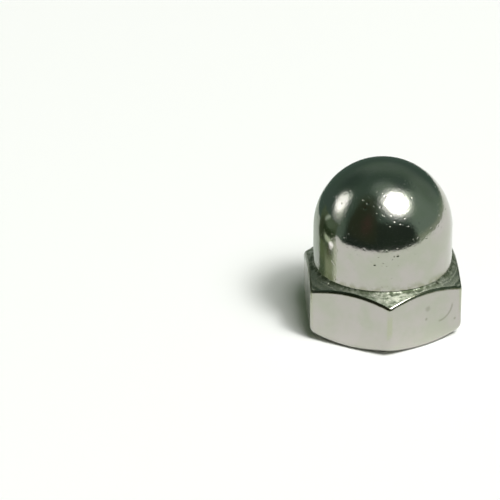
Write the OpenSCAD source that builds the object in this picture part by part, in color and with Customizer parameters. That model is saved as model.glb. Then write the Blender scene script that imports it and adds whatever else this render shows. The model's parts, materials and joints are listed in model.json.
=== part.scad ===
// Cap nut, also called an acorn nut: a hexagon nut whose tapped hole is closed by a smooth domed crown.
// It is one piece of stainless steel, turned and drilled from hexagon bar, so it is one solid here.
// Millimetres. +Z runs up through the crown, and the origin is the centre of the bearing face.
// The hexagon has a corner on +X and a flat facing -Y. The bore is at its tap-drill size: the fine
// thread itself is not cut.

/* [Hexagon] */
// Width of the hexagon across its flats
across_flats = 14.29; // [12.8:0.01:20]
// Height of the middle of each flat, from the bearing face up to the top chamfer
flat_h = 5.72; // [3:0.01:9]
// Slope of the top chamfer, from level
top_chamfer_angle = 30; // [15:1:45]
// How far the bearing face's edge is set in from the flats
bearing_setback = 0.5; // [0.1:0.05:0.9]
// Slope of the chamfer round the bearing face, from level
base_chamfer_angle = 20; // [10:1:45]

/* [Crown] */
// Height of the whole nut, from the bearing face to the top of the crown
overall_h = 16.3; // [13.5:0.1:24]
// Width of the ledge between the crown's wall and the middle of each flat
crown_ledge = 0.595; // [0.25:0.005:1.2]
// Radius of the fillet where the crown's wall runs into the top chamfer
crown_fillet_r = 0.2; // [0.1:0.05:0.8]
// Thickness of metal left in the crown above the drill point
crown_wall = 2; // [1.2:0.1:5]

/* [Thread] */
// Nominal outside diameter of the thread
thread_d = 9.525; // [5:0.005:11.4]
// Number of threads in one inch
threads_per_inch = 16; // [12:1:32]
// How far the mouth of the countersink stands outside the thread
countersink_margin = 0.84; // [0.2:0.02:1.7]
// Full angle of the countersink
countersink_angle = 120; // [90:5:130]
// Full angle of the drill point at the blind end
drill_point_angle = 118; // [90:1:140]

/* [Hidden] */

// Every round edge is a true circle. This only sets how finely it previews
$fn = 128;
hexagon_sides = 6;
inch = 25.4;
// Length by which a cutting shape overruns the face that it starts from
overrun = 1;
// Depth by which the fillet's circle cuts into the wall and the chamfer, so that it crosses both cleanly
fillet_bite = 0.005;

flat_r = across_flats / 2;
corner_r = flat_r / cos(180 / hexagon_sides);
bearing_r = flat_r - bearing_setback;
// The turned outline runs past the corners, so that the bar alone makes the flats
outline_r = corner_r + overrun;

crown_r = flat_r - crown_ledge;
// Height where the top chamfer's cone would meet the crown's wall
crown_foot_z = flat_h + crown_ledge * tan(top_chamfer_angle);
// Centre of the dome, level with the top of the crown's straight wall
dome_z = overall_h - crown_r;
// Distance of the fillet circle's centre from both the wall and the chamfer, and where that puts it
fillet_reach = crown_fillet_r - fillet_bite;
fillet_x = crown_r + fillet_reach;
fillet_z = crown_foot_z + fillet_reach * (1 / cos(top_chamfer_angle) - tan(top_chamfer_angle));

thread_pitch = inch / threads_per_inch;
// The tap drill is one pitch under the nominal diameter
bore_r = (thread_d - thread_pitch) / 2;
mouth_r = thread_d / 2 + countersink_margin;
countersink_depth = (mouth_r - bore_r) / tan(countersink_angle / 2);
drill_point_h = bore_r / tan(drill_point_angle / 2);
bore_tip_z = overall_h - crown_wall;
bore_end_z = bore_tip_z - drill_point_h;

// Height of the base chamfer's cone at a radius
function base_chamfer_z(r) = (r - bearing_r) * tan(base_chamfer_angle);

// Height of the top chamfer's cone at a radius
function top_chamfer_z(r) = crown_foot_z - (r - crown_r) * tan(top_chamfer_angle);

// Half section of the hexagon's two chamfers and the crown's straight wall, with a concave fillet between
module lower_section() {
    fillet_foot_r = fillet_x - fillet_reach * sin(top_chamfer_angle);
    difference() {
        polygon([
            [0, 0],
            [bearing_r, 0],
            [outline_r, base_chamfer_z(outline_r)],
            [outline_r, top_chamfer_z(outline_r)],
            [fillet_foot_r, top_chamfer_z(fillet_foot_r)],
            [crown_r, fillet_z],
            [crown_r, dome_z],
            [0, dome_z]
        ]);
        translate([fillet_x, fillet_z]) circle(r = crown_fillet_r);
    }
}

// Half section of the dome, a quarter of a disc that carries on from the crown's wall
module dome_section() {
    translate([0, dome_z]) intersection() {
        circle(r = crown_r);
        square(crown_r);
    }
}

// The whole outside as turned, before the bar's flats bound it
module turned_outside() {
    rotate_extrude() {
        lower_section();
        dome_section();
    }
}

// Hexagon bar that the nut is turned from
module hexagon_bar() {
    translate([0, 0, -overrun])
        cylinder(h = overall_h + 2 * overrun, r = corner_r, $fn = hexagon_sides);
}

// Space of the countersunk mouth, the tap-drilled bore and its blind drill point
module bore_space() {
    overrun_r = mouth_r + overrun * tan(countersink_angle / 2);
    rotate_extrude() polygon([
        [0, -overrun],
        [overrun_r, -overrun],
        [bore_r, countersink_depth],
        [bore_r, bore_end_z],
        [0, bore_tip_z]
    ]);
}

module cap_nut() {
    color([0.70, 0.70, 0.66]) difference() {
        intersection() {
            hexagon_bar();
            turned_outside();
        }
        bore_space();
    }
}

cap_nut();
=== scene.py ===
"""Cap nut: a domed hexagon nut in polished stainless steel, with a true helical thread in its blind bore.

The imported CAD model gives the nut's size and place. This script replaces its plain-bored solid with one
closed mesh that has rounded edges and the thread, and dresses it. It sets up the floor, the lamps and the
camera. Polished steel shows what stands round it, so that is built too, for reflections only.
"""

import json
import logging
import math
from dataclasses import dataclass, field
from enum import Enum
from typing import Any, Mapping, Sequence

import bpy
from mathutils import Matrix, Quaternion, Vector


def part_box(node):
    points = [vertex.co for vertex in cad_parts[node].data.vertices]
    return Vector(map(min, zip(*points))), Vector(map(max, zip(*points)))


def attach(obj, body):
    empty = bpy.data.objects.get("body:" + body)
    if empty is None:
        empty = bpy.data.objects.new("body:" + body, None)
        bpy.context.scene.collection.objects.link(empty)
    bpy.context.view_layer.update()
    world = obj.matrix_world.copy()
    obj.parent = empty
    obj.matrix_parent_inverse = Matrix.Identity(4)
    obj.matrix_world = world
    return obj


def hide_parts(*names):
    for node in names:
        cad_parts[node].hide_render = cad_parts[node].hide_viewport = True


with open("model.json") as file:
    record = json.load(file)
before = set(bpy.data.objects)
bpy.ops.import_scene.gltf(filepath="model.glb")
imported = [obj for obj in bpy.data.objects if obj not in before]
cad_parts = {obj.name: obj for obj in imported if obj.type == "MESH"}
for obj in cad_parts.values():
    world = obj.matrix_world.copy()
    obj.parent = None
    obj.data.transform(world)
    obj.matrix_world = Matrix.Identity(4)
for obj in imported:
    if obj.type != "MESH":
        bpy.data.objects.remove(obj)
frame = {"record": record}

log = logging.getLogger("cap_nut")

MM = 0.001
Point = tuple[float, float]
Socket = bpy.types.NodeSocket
Tree = bpy.types.NodeTree


# --------------------------------------------------------------------------------------------- helpers


def srgb(hex_colour: str) -> tuple[float, float, float, float]:
    """Turn an sRGB hex colour into linear red, green, blue and an alpha of 1.

    Args:
        hex_colour: Six hex digits, with or without a leading "#".

    Returns:
        The colour as linear light.
    """
    digits = hex_colour.lstrip("#")
    channels = [int(digits[i:i + 2], 16) / 255 for i in (0, 2, 4)]
    linear = [c / 12.92 if c <= 0.04045 else ((c + 0.055) / 1.055) ** 2.4 for c in channels]
    return (*linear, 1.0)


def add_node(
    tree: Tree,
    kind: str,
    inputs: Mapping[str | int, Any] | None = None,
    **settings: Any,
) -> bpy.types.Node:
    """Add one shader node, with its settings, values and links.

    Args:
        tree: The node tree that the node goes into.
        kind: The node's type, without the leading "ShaderNode".
        inputs: What each input gets, by name or number: a socket is linked, anything else is its value.
        **settings: Attributes of the node itself, such as its operation.

    Returns:
        The new node.
    """
    made = tree.nodes.new(f"ShaderNode{kind}")
    for name, value in settings.items():
        setattr(made, name, value)
    for key, value in (inputs or {}).items():
        socket = made.inputs[key]
        if isinstance(value, Socket):
            tree.links.new(value, socket)
        else:
            socket.default_value = value
    return made


def new_material(name: str) -> tuple[bpy.types.Material, Tree]:
    """Make an empty node material.

    Args:
        name: The material's name.

    Returns:
        The material and its node tree.
    """
    material = bpy.data.materials.new(name)
    material.use_nodes = True
    material.node_tree.nodes.clear()
    return material, material.node_tree


def smoothstep(low: float, high: float, value: float) -> float:
    """Return 0 below low, 1 above high, and a smooth ramp between."""
    t = min(1.0, max(0.0, (value - low) / (high - low)))
    return t * t * (3 - 2 * t)


def direction(azimuth: float, elevation: float) -> Vector:
    """Return the unit vector at an azimuth from +X and an elevation above the floor, both in degrees."""
    a, e = math.radians(azimuth), math.radians(elevation)
    return Vector((math.cos(a) * math.cos(e), math.sin(a) * math.cos(e), math.sin(e)))


def round_corner(before: Point, corner: Point, after: Point, radius: float, steps: int) -> list[Point]:
    """Round one corner of an outline with an arc that touches both of its sides.

    Args:
        before: A point on the side that leads into the corner.
        corner: The sharp corner.
        after: A point on the side that leads away from it.
        radius: The arc's radius.
        steps: How many pieces the arc is drawn in.

    Returns:
        The arc's points, in order, with both of its ends.
    """
    corner_v = Vector(corner)
    to_before = (Vector(before) - corner_v).normalized()
    to_after = (Vector(after) - corner_v).normalized()
    half = to_before.angle(to_after) / 2
    centre = corner_v + (to_before + to_after).normalized() * (radius / math.sin(half))
    start = corner_v + to_before * (radius / math.tan(half)) - centre
    end = corner_v + to_after * (radius / math.tan(half)) - centre
    sweep = start.angle(end)
    points = []
    for step in range(steps + 1):
        t = step / steps
        blend = (start * math.sin((1 - t) * sweep) + end * math.sin(t * sweep)) / math.sin(sweep)
        points.append(tuple(centre + blend))
    return points


def between(start: Point, end: Point, pieces: int) -> list[Point]:
    """Return the points that cut a straight stretch into equal pieces, without its two ends."""
    return [
        tuple(start[k] + (end[k] - start[k]) * n / pieces for k in range(2))
        for n in range(1, pieces)
    ]


# -------------------------------------------------------------------------------------------- finishes


class Zone(Enum):
    """The differently made surfaces of the nut, each with the number of its material slot."""

    CROWN = 0
    SHOULDER = 1
    BAR = 2
    FACE = 3
    BORE = 4
    EDGE = 5


def millimetres(tree: Tree) -> Socket:
    """Return a socket with the place on the object in millimetres."""
    place = add_node(tree, "TexCoord").outputs["Object"]
    return add_node(tree, "VectorMath", {0: place, "Scale": 1 / MM}, operation="SCALE").outputs["Vector"]


def axis_distance(tree: Tree, place: Socket) -> Socket:
    """Return a socket with the distance from the nut's axis."""
    level = add_node(tree, "VectorMath", {0: place, 1: (1.0, 1.0, 0.0)}, operation="MULTIPLY")
    return add_node(tree, "VectorMath", {0: level.outputs["Vector"]}, operation="LENGTH").outputs["Value"]


def filmed(tree: Tree, place: Socket, colour: Socket, film: str, near: Socket, per_mm: float) -> Socket:
    """Return a colour with a patchy film over it.

    Args:
        tree: The material's node tree.
        place: Where on the nut, in millimetres.
        colour: The colour under the film.
        film: The film's own colour.
        near: How much of the film there would be without its gaps, from 0 to 1.
        per_mm: How many patches there are to a millimetre.

    Returns:
        The mixed colour.
    """
    bare_below, covered_above = 0.37, 0.57
    patchy = add_node(tree, "TexNoise", {"Vector": place, "Scale": per_mm, "Detail": 4.0})
    kept = add_node(
        tree, "MapRange",
        {"Value": patchy.outputs["Fac"], "From Min": bare_below, "From Max": covered_above},
        interpolation_type="SMOOTHSTEP",
    )
    share = add_node(tree, "Math", {0: near, 1: kept.outputs["Result"]}, operation="MULTIPLY")
    return add_node(
        tree, "Mix", {"Factor": share.outputs["Value"], "A": colour, "B": srgb(film)}, data_type="RGBA"
    ).outputs["Result"]


@dataclass(frozen=True)
class Dent:
    """A small round dent or pit, at a place on the nut in millimetres."""

    centre: tuple[float, float, float]
    radius: float
    depth: float
    dirt: float = 1.0
    """How much of the grime it holds, from 0 to 1."""
    flat_share: float = 0.3
    """Share of its radius out to which its bottom is flat."""

    def cover(self, tree: Tree, place: Socket) -> Socket:
        """Return a socket that is 1 in the dent's middle and 0 outside it."""
        away = add_node(tree, "VectorMath", {0: place, 1: self.centre}, operation="DISTANCE")
        return add_node(
            tree, "MapRange",
            {"Value": away.outputs["Value"], "From Min": self.flat_share * self.radius,
             "From Max": self.radius, "To Min": 1.0, "To Max": 0.0},
            interpolation_type="SMOOTHSTEP",
        ).outputs["Result"]


@dataclass(frozen=True)
class Scratch:
    """A scratch that bends round a centre, from a slip of another part's corner. Sizes are in millimetres."""

    centre: tuple[float, float, float]
    bend_r: float
    """Distance of its line from that centre."""
    middle: tuple[float, float, float]
    """The middle of its length."""
    half_length: float
    width: float
    """Distance from its middle line out to either side."""
    depth: float
    dirt: float = 1.0
    """How much of the grime it holds, from 0 to 1."""
    flat_share: float = 0.1
    """Share of its width out to which its bottom is flat."""
    end_starts: float = 0.75
    """Share of its half length from which it runs out."""

    def cover(self, tree: Tree, place: Socket) -> Socket:
        """Give how much of the scratch there is at a place.

        Args:
            tree: The material's node tree.
            place: Where on the nut, in millimetres.

        Returns:
            A socket that is 1 along the scratch and 0 outside it.
        """
        away = add_node(tree, "VectorMath", {0: place, 1: self.centre}, operation="DISTANCE")
        off = add_node(tree, "Math", {0: away.outputs["Value"], 1: self.bend_r}, operation="SUBTRACT")
        aside = add_node(tree, "Math", {0: off.outputs["Value"]}, operation="ABSOLUTE")
        line = add_node(
            tree, "MapRange",
            {"Value": aside.outputs["Value"], "From Min": self.flat_share * self.width,
             "From Max": self.width, "To Min": 1.0, "To Max": 0.0},
            interpolation_type="SMOOTHSTEP",
        )
        along = add_node(tree, "VectorMath", {0: place, 1: self.middle}, operation="DISTANCE")
        part = add_node(
            tree, "MapRange",
            {"Value": along.outputs["Value"], "From Min": self.end_starts * self.half_length,
             "From Max": self.half_length, "To Min": 1.0, "To Max": 0.0},
            interpolation_type="SMOOTHSTEP",
        )
        return add_node(
            tree, "Math", {0: line.outputs["Result"], 1: part.outputs["Result"]}, operation="MULTIPLY"
        ).outputs["Value"]


@dataclass(frozen=True)
class Stainless:
    """Austenitic stainless steel, which mirrors what stands round it a little darker and warmer than silver.

    Each of the nut's finishes is this steel with a relief of its own. Sizes are in millimetres.
    """

    name: str = "stainless"
    colour: str = "#B6B2AE"
    stain: str = "#AEB0A3"
    """Colour where the tumbling has left it duller."""
    grime: str = "#7F8371"
    """What is left in dents and scratches after the wash."""
    grime_share: float = 0.5
    roughness: float = 0.1
    roughness_spread: float = 0.05
    blotch_mm: float = 2.4
    """Size of the soft blotches where the polish has left the steel slightly duller."""
    anisotropic: float = 0.0
    """How far the finish spreads a reflection across its rings."""
    marks: tuple[Dent | Scratch, ...] = ()

    TINT_RANGE = (0.32, 0.68)
    """Values of the blotches' noise between which the colour goes from the one to the other."""
    ROUGHNESS_RANGE = (0.3, 0.7)
    """The same for the roughness."""

    def material(self) -> bpy.types.Material:
        """Build the material.

        Returns:
            The material, with the finish's relief, wear and marks.
        """
        material, tree = new_material(self.name)
        place = millimetres(tree)
        blotch = add_node(
            tree, "TexNoise", {"Vector": place, "Scale": 1 / self.blotch_mm, "Detail": 4.0, "Roughness": 0.6}
        )
        dull = add_node(
            tree, "MapRange",
            {"Value": blotch.outputs["Fac"], "From Min": self.TINT_RANGE[0], "From Max": self.TINT_RANGE[1]},
            interpolation_type="SMOOTHSTEP",
        )
        tint = add_node(
            tree, "Mix",
            {"Factor": dull.outputs["Result"], "A": srgb(self.colour), "B": srgb(self.stain)},
            data_type="RGBA",
        )
        rough = add_node(
            tree, "MapRange",
            {"Value": blotch.outputs["Fac"],
             "From Min": self.ROUGHNESS_RANGE[0], "From Max": self.ROUGHNESS_RANGE[1],
             "To Min": self.roughness - self.roughness_spread / 2,
             "To Max": self.roughness + self.roughness_spread / 2},
            interpolation_type="SMOOTHSTEP",
        )
        colour = self.worn(tree, place, tint.outputs["Result"])
        inputs = {
            "Metallic": 1.0, "Roughness": self.streaked(tree, place, rough.outputs["Result"]),
            "Anisotropic": self.anisotropic, "Normal": self.relief(tree, place),
        }
        if self.anisotropic:
            rings = add_node(tree, "Tangent", direction_type="RADIAL", axis="Z")
            inputs["Tangent"] = rings.outputs["Tangent"]
            # A quarter turn, so that the spread is across the rings
            inputs["Anisotropic Rotation"] = 0.25
        if self.marks:
            depth, dirt = self._marks(tree, place)
            colour = add_node(
                tree, "Mix", {"Factor": dirt, "A": colour, "B": srgb(self.grime)}, data_type="RGBA"
            ).outputs["Result"]
            inputs["Normal"] = add_node(
                tree, "Bump", {"Strength": 1.0, "Distance": MM, "Height": depth, "Normal": inputs["Normal"]}
            ).outputs["Normal"]
        inputs["Base Color"] = colour
        shader = add_node(tree, "BsdfPrincipled", inputs)
        add_node(tree, "OutputMaterial", {"Surface": shader.outputs["BSDF"]})
        return material

    def relief(self, tree: Tree, place: Socket) -> Socket:
        """Return the normal that the way of making leaves."""
        raise NotImplementedError

    def worn(self, tree: Tree, place: Socket, colour: Socket) -> Socket:
        """Return the colour with any wear that belongs to the finish. Here there is none."""
        return colour

    def streaked(self, tree: Tree, place: Socket, roughness: Socket) -> Socket:
        """Return the roughness with any streaks that belong to the finish. Here there are none."""
        return roughness

    def _marks(self, tree: Tree, place: Socket) -> tuple[Socket, Socket]:
        """Gather the dents and scratches.

        Args:
            tree: The material's node tree.
            place: Where on the nut, in millimetres.

        Returns:
            The height of the surface in the marks, in millimetres, and how dirty it is, from 0 to 1.
        """
        height, dirt = None, None
        for mark in self.marks:
            cover = mark.cover(tree, place)
            drop = add_node(
                tree, "Math", {0: cover, 1: -mark.depth, 2: height or 0.0}, operation="MULTIPLY_ADD"
            )
            height = drop.outputs["Value"]
            held = add_node(tree, "Math", {0: cover, 1: mark.dirt * self.grime_share}, operation="MULTIPLY")
            worst = add_node(tree, "Math", {0: held.outputs["Value"], 1: dirt or 0.0}, operation="MAXIMUM")
            dirt = worst.outputs["Value"]
        return height, dirt


@dataclass(frozen=True)
class PolishedCrown(Stainless):
    """Tumble-polished steel: a mirror with a faint orange peel, whose pinholes sparkle round a highlight."""

    name: str = "polished_stainless"
    roughness: float = 0.125
    roughness_spread: float = 0.05
    peel_mm: float = 0.3
    """Size of the orange peel, about that of the tumbling stones' tips."""
    peel_depth_mm: float = 0.0088
    ripple_mm: float = 1.6
    """Size of the slow waves that the form tool leaves."""
    ripple_depth_mm: float = 0.006
    pit_spacing_mm: float = 0.42
    """Spacing of the pinholes. Real ones are closer and smaller, and are drawn this coarse to show."""
    pit_depth_mm: float = 0.011
    pit_size: float = 0.32
    """Radius of a pinhole, as a share of their spacing."""
    share_with_pits: float = 0.5
    """Share of the places for a pit that have one."""
    pit_bend: float = 0.3
    """How far a noise pulls the pits out of round, in millimetres."""
    pit_bend_scale: float = 1.6
    """How many waves that noise has to a spacing."""
    film: str = "#8B8D73"
    # A patchy olive colour at the foot of the crown's wall.
    """Polishing compound left at the foot of the crown's wall."""
    film_share: float = 0.62
    film_per_mm: float = 1.4
    """How many patches the compound has to a millimetre."""
    foot_z: float = 6.15
    film_height: float = 0.9
    """How far it reaches up from the foot."""
    film_depth: float = 0.4
    """How far it reaches down from there, into the fillet."""

    def relief(self, tree: Tree, place: Socket) -> Socket:
        """Lay the ripple, the orange peel and the pinholes over each other.

        Args:
            tree: The material's node tree.
            place: Where on the nut, in millimetres.

        Returns:
            The normal.
        """
        ripple = add_node(tree, "TexNoise", {"Vector": place, "Scale": 1 / self.ripple_mm, "Detail": 1.0})
        normal = add_node(
            tree, "Bump",
            {"Strength": 1.0, "Distance": self.ripple_depth_mm * MM, "Height": ripple.outputs["Fac"]},
        ).outputs["Normal"]
        peel = add_node(tree, "TexNoise", {"Vector": place, "Scale": 1 / self.peel_mm, "Detail": 2.0})
        normal = add_node(
            tree, "Bump",
            {"Strength": 1.0, "Distance": self.peel_depth_mm * MM, "Height": peel.outputs["Fac"],
             "Normal": normal},
        ).outputs["Normal"]

        # Pinholes: one to a cell of scattered points, in the cells that a random colour picks
        pull = add_node(
            tree, "TexNoise",
            {"Vector": place, "Scale": self.pit_bend_scale / self.pit_spacing_mm, "Detail": 1.0},
        )
        bent = add_node(
            tree, "VectorMath", {0: pull.outputs["Color"], 1: [self.pit_bend] * 3, 2: place},
            operation="MULTIPLY_ADD",
        )
        cells = add_node(
            tree, "TexVoronoi", {"Vector": bent.outputs["Vector"], "Scale": 1 / self.pit_spacing_mm}
        )
        hole = add_node(
            tree, "MapRange", {"Value": cells.outputs["Distance"], "From Max": self.pit_size},
            interpolation_type="SMOOTHSTEP",
        )
        pick = add_node(tree, "SeparateColor", {"Color": cells.outputs["Color"]})
        skip = add_node(
            tree, "Math", {0: pick.outputs["Red"], 1: self.share_with_pits}, operation="GREATER_THAN"
        )
        ground = add_node(
            tree, "Math", {0: hole.outputs["Result"], 1: skip.outputs["Value"]}, operation="MAXIMUM"
        )
        return add_node(
            tree, "Bump",
            {"Strength": 1.0, "Distance": self.pit_depth_mm * MM, "Height": ground.outputs["Value"],
             "Normal": normal},
        ).outputs["Normal"]

    def worn(self, tree: Tree, place: Socket, colour: Socket) -> Socket:
        """Lay the patchy film along the foot of the wall.

        Args:
            tree: The material's node tree.
            place: Where on the nut, in millimetres.
            colour: The colour under the film.

        Returns:
            The colour with the film.
        """
        height = add_node(tree, "SeparateXYZ", {"Vector": place}).outputs["Z"]
        above = add_node(
            tree, "MapRange",
            {"Value": height, "From Min": self.foot_z, "From Max": self.foot_z + self.film_height,
             "To Min": self.film_share, "To Max": 0.0},
            interpolation_type="SMOOTHSTEP",
        )
        lowest = self.foot_z - self.film_depth
        reached = add_node(tree, "Math", {0: height, 1: lowest}, operation="GREATER_THAN")
        near = add_node(
            tree, "Math", {0: above.outputs["Result"], 1: reached.outputs["Value"]}, operation="MULTIPLY"
        )
        return filmed(tree, place, colour, self.film, near.outputs["Value"], self.film_per_mm)


@dataclass(frozen=True)
class TumbledEdge(PolishedCrown):
    """The edge between the shoulder and the flats, rounded by tumbling: polished, with a painted dark
    reflection.
    """

    name: str = "tumbled_edge_painted_dark"
    # Painted dark reflection: both colours are far darker than the steel's own, to draw the dark line that
    # the edge mirrors
    colour: str = "#86877C"
    stain: str = "#6E705C"
    blotch_mm: float = 0.8
    film_share: float = 0.0


@dataclass(frozen=True)
class TurnedShoulder(Stainless):
    """Steel as a form tool turns it, then tumbled: satin and mottled, with broken rings round the axis.

    Its corner under the crown is darker, with a patchy olive colour.
    """

    name: str = "turned_stainless"
    colour: str = "#A1A395"
    stain: str = "#747C6A"
    grime: str = "#34382A"
    grime_share: float = 0.85
    roughness: float = 0.56
    roughness_spread: float = 0.3
    blotch_mm: float = 0.55
    ring_mm: float = 0.24
    """Real turning rings are finer, and are drawn this coarse so that they show."""
    ring_depth_mm: float = 0.006
    pock_mm: float = 0.24
    """Size of the pocks that the tumbling stones' tips beat into it."""
    pock_depth_mm: float = 0.03
    film: str = "#4E5741"
    film_share: float = 0.85
    film_per_mm: float = 1.8
    """How many patches the compound has to a millimetre."""
    corner_r: float = 6.6
    """Distance of the corner from the axis, and the width of its film."""
    film_width: float = 0.45

    WANDERS = ((0.5, 0.25), (2.2, 0.3))
    """How many waves to a millimetre pull the rings out of round, and how many millimetres far."""
    STREAK_RANGE = (0.3, 0.7)
    """Values of the rings' noise between which the roughness goes from the first share to the second."""
    STREAK_SHARES = (0.65, 1.35)

    def relief(self, tree: Tree, place: Socket) -> Socket:
        """Lay the rings and the pocks of the tumbling over each other.

        Args:
            tree: The material's node tree.
            place: Where on the nut, in millimetres.

        Returns:
            The normal.
        """
        normal = add_node(
            tree, "Bump",
            {"Strength": 1.0, "Distance": self.ring_depth_mm * MM, "Height": self._rings(tree, place)},
        ).outputs["Normal"]
        pocks = add_node(tree, "TexNoise", {"Vector": place, "Scale": 1 / self.pock_mm, "Detail": 2.0})
        return add_node(
            tree, "Bump",
            {"Strength": 1.0, "Distance": self.pock_depth_mm * MM, "Height": pocks.outputs["Fac"],
             "Normal": normal},
        ).outputs["Normal"]

    def worn(self, tree: Tree, place: Socket, colour: Socket) -> Socket:
        """Return the colour with the patchy film in the corner."""
        near = add_node(
            tree, "MapRange",
            {"Value": axis_distance(tree, place), "From Min": self.corner_r,
             "From Max": self.corner_r + self.film_width, "To Min": self.film_share, "To Max": 0.0},
            interpolation_type="SMOOTHSTEP",
        )
        return filmed(tree, place, colour, self.film, near.outputs["Result"], self.film_per_mm)

    def streaked(self, tree: Tree, place: Socket, roughness: Socket) -> Socket:
        """Return the roughness with a duller or brighter streak to each ring."""
        streak = add_node(
            tree, "MapRange",
            {"Value": self._rings(tree, place),
             "From Min": self.STREAK_RANGE[0], "From Max": self.STREAK_RANGE[1],
             "To Min": self.STREAK_SHARES[0], "To Max": self.STREAK_SHARES[1]},
            interpolation_type="SMOOTHSTEP",
        )
        return add_node(
            tree, "Math", {0: roughness, 1: streak.outputs["Result"]}, operation="MULTIPLY"
        ).outputs["Value"]

    def _rings(self, tree: Tree, place: Socket) -> Socket:
        """Make the rings as a noise that follows the distance from the axis, wandering and broken up.

        Args:
            tree: The material's node tree.
            place: Where on the nut, in millimetres.

        Returns:
            The noise, from 0 to 1.
        """
        distance = axis_distance(tree, place)
        for scale, reach in self.WANDERS:
            wander = add_node(tree, "TexNoise", {"Vector": place, "Scale": scale, "Detail": 1.0})
            distance = add_node(
                tree, "Math", {0: wander.outputs["Fac"], 1: reach, 2: distance}, operation="MULTIPLY_ADD"
            ).outputs["Value"]
        return add_node(
            tree, "TexNoise", {"W": distance, "Scale": 1 / self.ring_mm, "Detail": 3.0},
            noise_dimensions="1D",
        ).outputs["Fac"]


@dataclass(frozen=True)
class DrawnBar(Stainless):
    """The flats of cold-drawn hexagon bar after tumbling: satin, with faint lines along the bar."""

    name: str = "drawn_stainless"
    roughness: float = 0.19
    roughness_spread: float = 0.08
    edge_tint: str = "#AEB09E"
    """Colour that the drawing compound leaves beside the upright edges."""
    edge_starts: float = 8.05
    """Distance from the axis at which that colour starts, and how far it takes to come in."""
    edge_fade: float = 0.1
    film_per_mm: float = 0.8
    """How many patches it has to a millimetre."""
    line_mm: float = 0.18
    """Real drawing lines are a tenth of this apart, and are drawn this coarse so that they show."""
    waves_along_per_mm: float = 0.12
    """How quickly a line comes and goes along its length."""
    line_depth_mm: float = 0.0012
    rub_mm: float = 0.9
    """Size of the places where one nut has rubbed on another."""
    rub_depth_mm: float = 0.004

    def relief(self, tree: Tree, place: Socket) -> Socket:
        """Lay the drawing lines and the soft rubbing of one nut on another over each other.

        Args:
            tree: The material's node tree.
            place: Where on the nut, in millimetres.

        Returns:
            The normal.
        """
        drawn = add_node(
            tree, "Mapping",
            {"Vector": place, "Scale": (1 / self.line_mm, 1 / self.line_mm, self.waves_along_per_mm)},
        )
        lines = add_node(tree, "TexNoise", {"Vector": drawn.outputs["Vector"], "Scale": 1.0, "Detail": 2.0})
        normal = add_node(
            tree, "Bump",
            {"Strength": 1.0, "Distance": self.line_depth_mm * MM, "Height": lines.outputs["Fac"]},
        ).outputs["Normal"]
        rub = add_node(tree, "TexNoise", {"Vector": place, "Scale": 1 / self.rub_mm, "Detail": 5.0})
        return add_node(
            tree, "Bump",
            {"Strength": 1.0, "Distance": self.rub_depth_mm * MM, "Height": rub.outputs["Fac"],
             "Normal": normal},
        ).outputs["Normal"]

    def worn(self, tree: Tree, place: Socket, colour: Socket) -> Socket:
        """Return the colour with a broken olive line beside each upright edge."""
        near = add_node(
            tree, "MapRange",
            {"Value": axis_distance(tree, place), "From Min": self.edge_starts,
             "From Max": self.edge_starts + self.edge_fade},
            interpolation_type="SMOOTHSTEP",
        )
        return filmed(tree, place, colour, self.edge_tint, near.outputs["Result"], self.film_per_mm)


@dataclass(frozen=True)
class FacedBearing(TurnedShoulder):
    """The bearing face as faced on a lathe: satin, with close rings round the bore."""

    name: str = "faced_stainless"
    colour: str = "#B6B2AE"
    stain: str = "#AEB0A3"
    roughness: float = 0.26
    roughness_spread: float = 0.06
    anisotropic: float = 0.5
    ring_mm: float = 0.14
    ring_depth_mm: float = 0.003
    pock_depth_mm: float = 0.003
    film_share: float = 0.0


@dataclass(frozen=True)
class TappedBore(Stainless):
    """Steel as a tap cuts it: bright flanks with tool lines that follow the thread."""

    pitch: float = 25.4 / 16
    name: str = "tapped_stainless"
    roughness: float = 0.17
    roughness_spread: float = 0.12
    blotch_mm: float = 1.0
    line_depth_mm: float = 0.0015
    lines_to_a_pitch: int = 12
    """Real tool lines are closer, and are drawn this coarse so that they show."""

    def relief(self, tree: Tree, place: Socket) -> Socket:
        """Draw lines that climb one pitch a turn.

        Args:
            tree: The material's node tree.
            place: Where on the nut, in millimetres.

        Returns:
            The normal.
        """
        parts = add_node(tree, "SeparateXYZ", {"Vector": place})
        turn = add_node(tree, "Math", {0: parts.outputs["Y"], 1: parts.outputs["X"]}, operation="ARCTAN2")
        lead = add_node(
            tree, "Math", {0: turn.outputs["Value"], 1: -self.pitch / math.tau, 2: parts.outputs["Z"]},
            operation="MULTIPLY_ADD",
        )
        grain = add_node(
            tree, "TexNoise",
            {"W": lead.outputs["Value"], "Scale": self.lines_to_a_pitch / self.pitch, "Detail": 2.0},
            noise_dimensions="1D",
        )
        return add_node(
            tree, "Bump",
            {"Strength": 1.0, "Distance": self.line_depth_mm * MM, "Height": grain.outputs["Fac"]},
        ).outputs["Normal"]


# --------------------------------------------------------------------------------------------- the nut


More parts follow.
